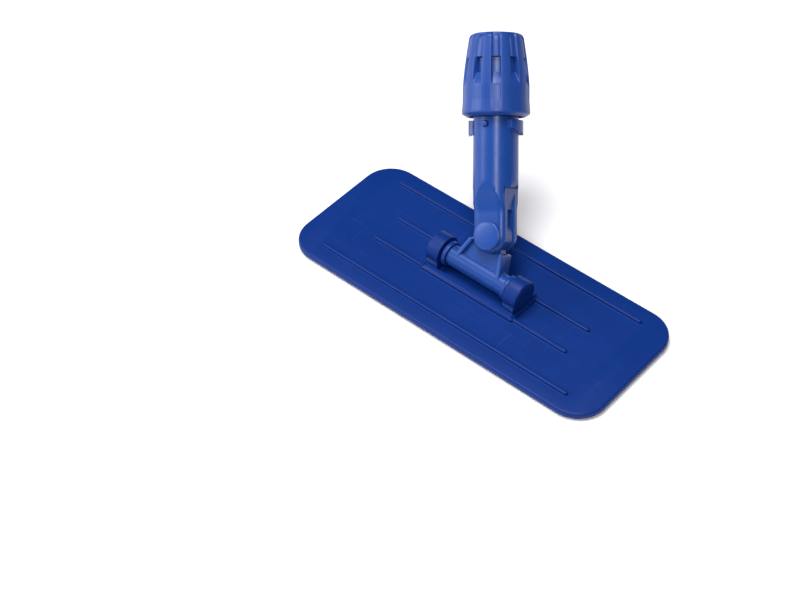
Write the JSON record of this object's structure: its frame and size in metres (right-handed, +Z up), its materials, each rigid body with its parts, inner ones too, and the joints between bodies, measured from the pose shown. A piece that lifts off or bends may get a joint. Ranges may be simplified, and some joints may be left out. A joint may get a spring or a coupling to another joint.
{
  "type": "swivel pad holder",
  "caption": "Flat ribbed scouring-pad plate on a two-way swivel joint, with a split-collet quick-lock socket for a telescopic pole.",
  "frame": {"origin": "centre of the plate's flat underside, between the two hook strips", "axes": "+X along the plate's length; +Y across it, away from the side that shows the swivel pin's head; +Z up, away from the pad"},
  "size_m": [0.23, 0.1406, 0.1293],
  "materials": {
    "plate_plastic": "moulded, semi-gloss",
    "hook_tape": "matt hooks",
    "steel": "bright drawn",
    "plug_plastic": "moulded, semi-gloss",
    "swivel_plastic": "moulded, satin gloss",
    "bush_plastic": "moulded, satin",
    "pin_plastic": "moulded, satin gloss",
    "collet_plastic": "moulded, satin",
    "collar_plastic": "moulded, satin gloss"
  },
  "bodies": {
    "base": {"pad_plate": "plate_plastic", "hook_strip_front": "hook_tape", "hook_strip_rear": "hook_tape", "swivel_axle": "steel", "axle_plug_left": "plug_plastic", "axle_plug_right": "plug_plastic"},
    "yoke": {"swivel_yoke": "swivel_plastic", "yoke_bush_left": "bush_plastic", "yoke_bush_right": "bush_plastic", "pin_bush": "bush_plastic"},
    "stem": {"pole_socket": "swivel_plastic", "collar_stop_peg": "swivel_plastic", "pivot_pin": "pin_plastic", "pin_retainer": "pin_plastic", "friction_washer_front": "steel", "friction_washer_rear": "steel"},
    "collet": {"grip_collet": "collet_plastic", "collar_thrust_ring": "steel"},
    "collar": {"locking_collar": "collar_plastic"}
  },
  "joints": [
    {"name": "yoke_swing", "type": "hinge", "parent": "base", "child": "yoke", "pos_m": [0, 0, 0.0147], "axis": [1, 0, 0], "range_deg": [-32.3, 107.7]},
    {"name": "stem_tilt", "type": "hinge", "parent": "yoke", "child": "stem", "pos_m": [0, 0.01431, 0.03322], "axis": [0, 0.7912, -0.6115], "range_deg": [-34.4, 88.6]},
    {"name": "collet_slide", "type": "slide", "parent": "stem", "child": "collet", "axis": [-0.4555, 0.5444, 0.7044], "range_m": [-0.00424, 0]},
    {"name": "collar_turn", "type": "hinge", "parent": "collet", "child": "collar", "pos_m": [0, 0.01431, 0.03322], "axis": [-0.4555, 0.5444, 0.7044], "range_deg": [-90, 0]}
  ],
  "couplings": [
    {"joint": "collar_turn", "follows": "collet_slide", "rad_per_m": 370.37}
  ]
}
